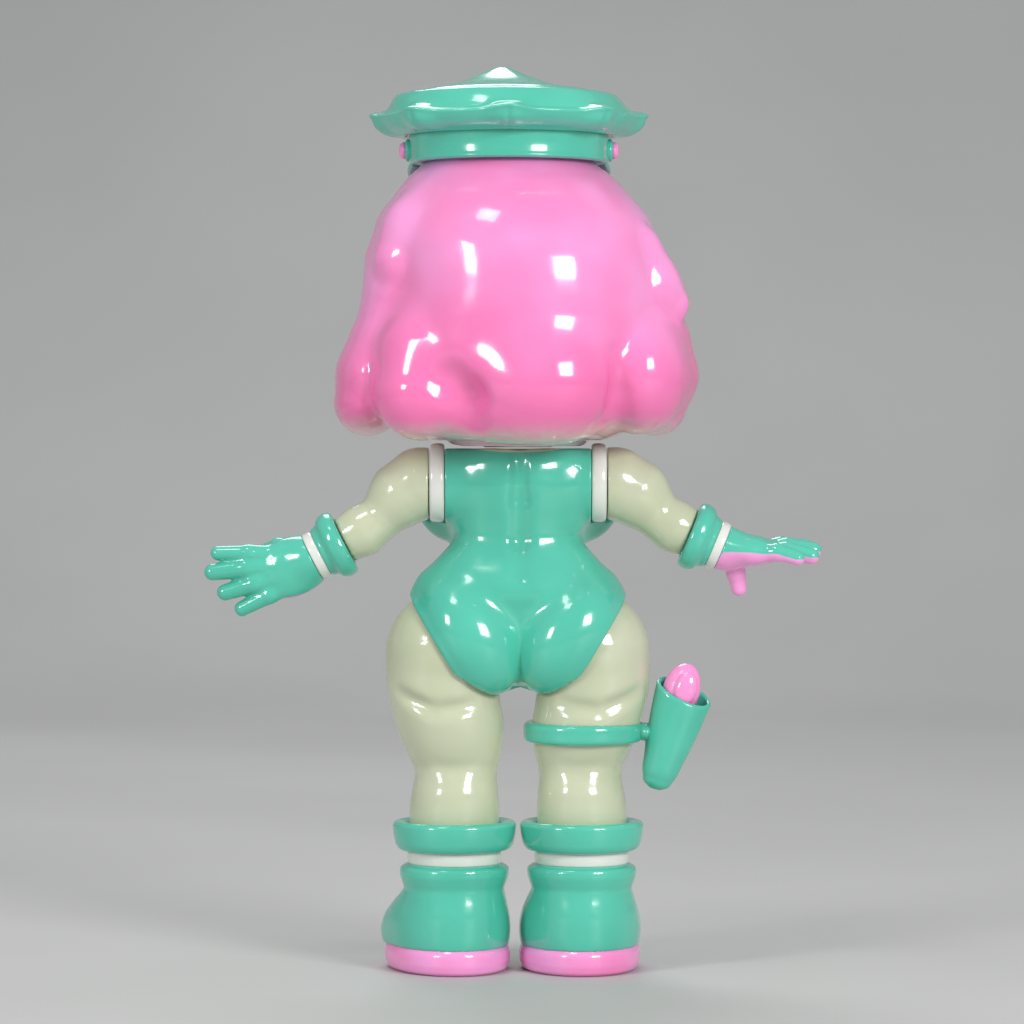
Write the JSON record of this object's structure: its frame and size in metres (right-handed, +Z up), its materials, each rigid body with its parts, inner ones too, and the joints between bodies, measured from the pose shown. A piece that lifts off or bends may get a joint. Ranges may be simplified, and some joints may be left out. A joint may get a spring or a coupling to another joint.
{
  "type": "vinyl art toy figure",
  "caption": "Glossy soft-vinyl doll figure in a peaked cap with bobbed hair, gloves, boots and a thigh holster; plug-jointed neck, arms, wrists, hips and ankles.",
  "frame": {"origin": "on the floor under the middle of the figure's overall box", "axes": "+Z up, the face looks along -Y, +X is the figure's left"},
  "size_m": [0.1642, 0.0869, 0.24],
  "materials": {
    "green_vinyl": "high-gloss cast soft vinyl",
    "pink_vinyl": "high-gloss cast soft vinyl",
    "glow_vinyl": "high-gloss cast soft vinyl",
    "white_vinyl": "high-gloss cast soft vinyl"
  },
  "bodies": {
    "torso": {"torso_shell": "green_vinyl", "shoulder_ring_left": "white_vinyl", "shoulder_ring_right": "white_vinyl"},
    "head": {"head_shell": "glow_vinyl", "hair_shell": "pink_vinyl"},
    "cap": {"cap_band": "green_vinyl", "cap_crown": "green_vinyl", "cap_visor": "green_vinyl", "cap_button_base_left": "green_vinyl", "cap_button_left": "pink_vinyl", "cap_button_base_right": "green_vinyl", "cap_button_right": "pink_vinyl", "cap_badge": "white_vinyl"},
    "arm_left": {"arm_left": "glow_vinyl"},
    "arm_right": {"arm_right": "glow_vinyl"},
    "hand_left": {"glove_cuff_left": "green_vinyl", "wrist_band_left": "white_vinyl", "glove_left": "green_vinyl"},
    "hand_right": {"glove_cuff_right": "green_vinyl", "wrist_band_right": "white_vinyl", "glove_right": "green_vinyl"},
    "leg_left": {"leg_left": "glow_vinyl"},
    "leg_right": {"leg_right": "glow_vinyl", "thigh_strap": "green_vinyl", "holster": "green_vinyl"},
    "boot_left": {"boot_upper_left": "green_vinyl", "boot_band_left": "white_vinyl", "boot_cuff_left": "green_vinyl", "boot_sole_left": "pink_vinyl"},
    "boot_right": {"boot_upper_right": "green_vinyl", "boot_band_right": "white_vinyl", "boot_cuff_right": "green_vinyl", "boot_sole_right": "pink_vinyl"},
    "wand": {"wand": "pink_vinyl"}
  },
  "joints": [
    {"name": "neck_turn", "type": "hinge", "parent": "torso", "child": "head", "pos_m": [0, 0, 0.139], "axis": [0, 0, 1], "continuous": true},
    {"name": "cap_lift", "type": "slide", "parent": "head", "child": "cap", "axis": [0, 0, 1], "range_m": [0, 0.03]},
    {"name": "shoulder_turn_left", "type": "hinge", "parent": "torso", "child": "arm_left", "pos_m": [0.0236, 0, 0.1299], "axis": [1, 0, 0], "range_deg": [-100, 100]},
    {"name": "shoulder_turn_right", "type": "hinge", "parent": "torso", "child": "arm_right", "pos_m": [-0.0236, 0, 0.1299], "axis": [1, 0, 0], "range_deg": [-100, 100]},
    {"name": "wrist_turn_left", "type": "hinge", "parent": "arm_left", "child": "hand_left", "pos_m": [0.0461, 0, 0.1144], "axis": [0.891, 0, -0.454], "continuous": true},
    {"name": "wrist_turn_right", "type": "hinge", "parent": "arm_right", "child": "hand_right", "pos_m": [-0.0454, 0, 0.1164], "axis": [-0.9225, 0, -0.3859], "continuous": true},
    {"name": "hip_turn_left", "type": "hinge", "parent": "torso", "child": "leg_left", "pos_m": [0.019, 0.0005, 0.0855], "axis": [-0.6198, 0, 0.7848], "range_deg": [0, 75]},
    {"name": "hip_turn_right", "type": "hinge", "parent": "torso", "child": "leg_right", "pos_m": [-0.019, 0.0005, 0.0855], "axis": [-0.6198, 0, -0.7848], "range_deg": [0, 75]},
    {"name": "boot_turn_left", "type": "hinge", "parent": "leg_left", "child": "boot_left", "pos_m": [0.0169, 0, 0.036], "axis": [0, 0, 1], "range_deg": [-8, 60]},
    {"name": "boot_turn_right", "type": "hinge", "parent": "leg_right", "child": "boot_right", "pos_m": [-0.0169, 0, 0.036], "axis": [0, 0, -1], "range_deg": [0, 60]},
    {"name": "wand_lift", "type": "slide", "parent": "leg_right", "child": "wand", "axis": [-0.2924, 0, 0.9563], "range_m": [0, 0.02]}
  ]
}
